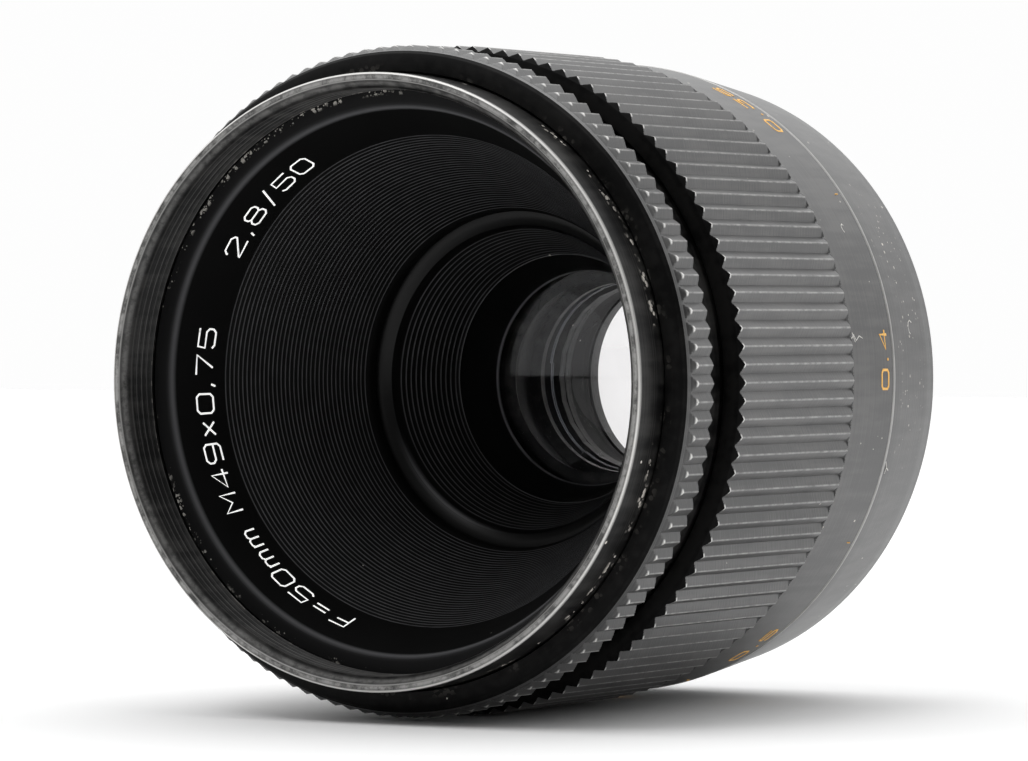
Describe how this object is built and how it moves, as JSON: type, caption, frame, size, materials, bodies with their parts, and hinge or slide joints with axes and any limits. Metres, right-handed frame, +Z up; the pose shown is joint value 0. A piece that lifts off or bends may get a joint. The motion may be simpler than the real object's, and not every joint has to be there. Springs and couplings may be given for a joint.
{
  "type": "enlarger lens",
  "caption": "Short focal length macro lens in a black barrel: deep ribbed hood, narrow ridged aperture ring, broad ridged focus grip, coupled focus travel and working iris.",
  "frame": {"origin": "centre of the bounding box on the surface that the lens lies on", "axes": "+Y along the optical axis from the front rim to the mount, +Z up, +X to the right seen from the front"},
  "size_m": [0.0562, 0.0558, 0.0563],
  "materials": {
    "anodised_black": "satin black anodised, worn bright on the edges",
    "anodised_inner": "black anodised",
    "matt_black": "matt black",
    "brass_bare": "turned, greased",
    "aluminium_bare": "turned satin",
    "steel_bare": "bright",
    "blade_steel": "blued",
    "coated_glass": "polished, thin violet coating"
  },
  "bodies": {
    "mount_barrel": {"base_barrel": "anodised_black", "mount_ring": "aluminium_bare", "guide_key": "steel_bare", "guide_key_screw": "steel_bare", "rear_baffle": "matt_black", "mount_screw_1": "steel_bare", "mount_screw_2": "steel_bare", "mount_screw_3": "steel_bare"},
    "focus_ring": {"focus_grip": "anodised_black", "helicoid_sleeve": "brass_bare", "sleeve_lock_ring": "brass_bare", "grip_set_screw_1": "steel_bare", "grip_set_screw_2": "steel_bare", "grip_set_screw_3": "steel_bare"},
    "lens_block": {"front_barrel": "anodised_black", "lens_carrier": "aluminium_bare", "hood_cone": "matt_black", "front_retainer": "matt_black", "front_cell": "anodised_inner", "front_element": "coated_glass", "spacer_ring": "matt_black", "second_element": "coated_glass", "block_nut": "brass_bare", "iris_retaining_ring": "anodised_inner", "iris_housing": "anodised_inner", "rear_cell": "anodised_inner", "third_element": "coated_glass", "fourth_element": "coated_glass", "rear_retainer": "anodised_inner", "detent_ball": "steel_bare", "detent_spring": "steel_bare", "barrel_screw_1": "steel_bare", "barrel_screw_2": "steel_bare", "barrel_screw_3": "steel_bare", "rear_cell_screw_1": "steel_bare", "rear_cell_screw_2": "steel_bare", "rear_cell_screw_3": "steel_bare"},
    "aperture_control": {"aperture_ring": "anodised_black", "aperture_screw": "steel_bare", "aperture_fork": "steel_bare", "iris_cam_ring": "blade_steel"},
    "blade_1": {"iris_blade_1": "blade_steel"},
    "blade_2": {"iris_blade_2": "blade_steel"},
    "blade_3": {"iris_blade_3": "blade_steel"},
    "blade_4": {"iris_blade_4": "blade_steel"},
    "blade_5": {"iris_blade_5": "blade_steel"},
    "blade_6": {"iris_blade_6": "blade_steel"}
  },
  "joints": [
    {"name": "focus_turn", "type": "hinge", "parent": "mount_barrel", "child": "focus_ring", "pos_m": [0, -0.0009, 0.02814], "axis": [0, 1, 0], "range_deg": [0, 340]},
    {"name": "focus_travel", "type": "slide", "parent": "mount_barrel", "child": "lens_block", "axis": [0, -1, 0], "range_m": [0, 0.0134]},
    {"name": "aperture_turn", "type": "hinge", "parent": "lens_block", "child": "aperture_control", "pos_m": [0, -0.0212, 0.02814], "axis": [0, -1, 0], "range_deg": [0, 45]},
    {"name": "blade_1_turn", "type": "hinge", "parent": "lens_block", "child": "blade_1", "pos_m": [0.0136, 0.0175, 0.02814], "axis": [0, -1, 0], "range_deg": [0, 27.1]},
    {"name": "blade_2_turn", "type": "hinge", "parent": "lens_block", "child": "blade_2", "pos_m": [0.0068, 0.0175, 0.03992], "axis": [0, -1, 0], "range_deg": [0, 27.1]},
    {"name": "blade_3_turn", "type": "hinge", "parent": "lens_block", "child": "blade_3", "pos_m": [-0.0068, 0.0175, 0.03992], "axis": [0, -1, 0], "range_deg": [0, 27.1]},
    {"name": "blade_4_turn", "type": "hinge", "parent": "lens_block", "child": "blade_4", "pos_m": [-0.0136, 0.0175, 0.02814], "axis": [0, -1, 0], "range_deg": [0, 27.1]},
    {"name": "blade_5_turn", "type": "hinge", "parent": "lens_block", "child": "blade_5", "pos_m": [-0.0068, 0.0175, 0.01636], "axis": [0, -1, 0], "range_deg": [0, 27.1]},
    {"name": "blade_6_turn", "type": "hinge", "parent": "lens_block", "child": "blade_6", "pos_m": [0.0068, 0.0175, 0.01636], "axis": [0, -1, 0], "range_deg": [0, 27.1]}
  ],
  "couplings": [
    {"joint": "focus_travel", "follows": "focus_turn", "m_per_rad": 0.002258},
    {"joint": "blade_1_turn", "follows": "aperture_turn", "ratio": 0.6},
    {"joint": "blade_2_turn", "follows": "aperture_turn", "ratio": 0.6},
    {"joint": "blade_3_turn", "follows": "aperture_turn", "ratio": 0.6},
    {"joint": "blade_4_turn", "follows": "aperture_turn", "ratio": 0.6},
    {"joint": "blade_5_turn", "follows": "aperture_turn", "ratio": 0.6},
    {"joint": "blade_6_turn", "follows": "aperture_turn", "ratio": 0.6}
  ]
}
